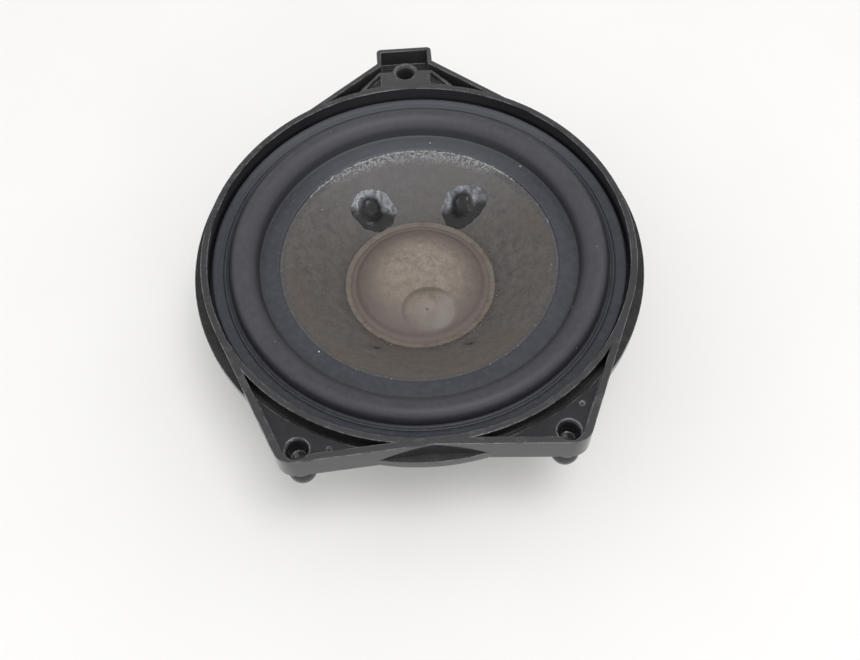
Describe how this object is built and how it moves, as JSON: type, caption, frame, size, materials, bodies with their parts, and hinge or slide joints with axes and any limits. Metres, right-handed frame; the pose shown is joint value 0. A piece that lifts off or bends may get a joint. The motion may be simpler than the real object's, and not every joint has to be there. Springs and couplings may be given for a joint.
{
  "type": "car woofer loudspeaker",
  "caption": "Round car woofer with a pulp cone and domed cap, rubber half-roll, black moulded frame with three drilled ears on ball studs, spoked basket and ring magnet.",
  "frame": {"origin": "centre of the flat rear face of the motor's back plate, on the cone's axis", "axes": "+Z along the cone's axis, out of the front; +Y towards the single ear; +X to the right seen from the front"},
  "size_m": [0.166, 0.183, 0.0663],
  "materials": {
    "frame_plastic": "moulded black, glossy with fine flow marks",
    "basket_plastic": "glass-filled black, satin",
    "gasket_foam": "closed-cell foam, matt",
    "surround_rubber": "matt black rubber",
    "cone_paper": "pressed fibrous pulp, coated",
    "cap_paper": "felted pulp, bare",
    "bead_glue": "dried glue bead",
    "patch_glue": "clear-drying glue over the lead joints",
    "eyelet_brass": "stamped",
    "former_film": "amber polyimide film",
    "coil_copper": "enamelled copper winding",
    "spider_cloth": "resin-dipped cotton weave",
    "plate_steel": "zinc-plated",
    "ferrite": "sintered grey-black ferrite",
    "ring_aluminium": "turned",
    "screw_steel": "zinc-plated",
    "stud_plastic": "moulded black, glossy",
    "housing_plastic": "moulded black, satin",
    "blade_tin": "tin-plated brass",
    "lead_tinsel": "braided tinsel wire"
  },
  "bodies": {
    "root": {"mounting_frame": "frame_plastic", "basket": "basket_plastic", "flange_gasket": "gasket_foam", "surround": "surround_rubber", "spider": "spider_cloth", "top_plate": "plate_steel", "magnet": "ferrite", "yoke": "plate_steel", "shorting_ring": "ring_aluminium", "motor_screw_1": "screw_steel", "motor_screw_2": "screw_steel", "motor_screw_3": "screw_steel", "motor_screw_4": "screw_steel", "ball_stud_left": "stud_plastic", "ball_stud_right": "stud_plastic", "ball_stud_top": "stud_plastic", "terminal_housing": "housing_plastic", "terminal_blade_left": "blade_tin", "terminal_blade_right": "blade_tin", "tinsel_lead_left": "lead_tinsel", "tinsel_lead_right": "lead_tinsel"},
    "cone_assembly": {"cone": "cone_paper", "dust_cap": "cap_paper", "dust_cap_bead": "bead_glue", "glue_patch_left": "patch_glue", "glue_patch_right": "patch_glue", "lead_eyelet_left": "eyelet_brass", "lead_eyelet_right": "eyelet_brass", "voice_coil_former": "former_film", "voice_coil": "coil_copper"}
  },
  "joints": [
    {"name": "cone_travel", "type": "slide", "parent": "root", "child": "cone_assembly", "axis": [0, 0, 1], "range_m": [-0.006, 0.006], "stiffness_N_per_m": 2200, "deforming": ["surround", "spider", "tinsel_lead_left", "tinsel_lead_right"]}
  ]
}
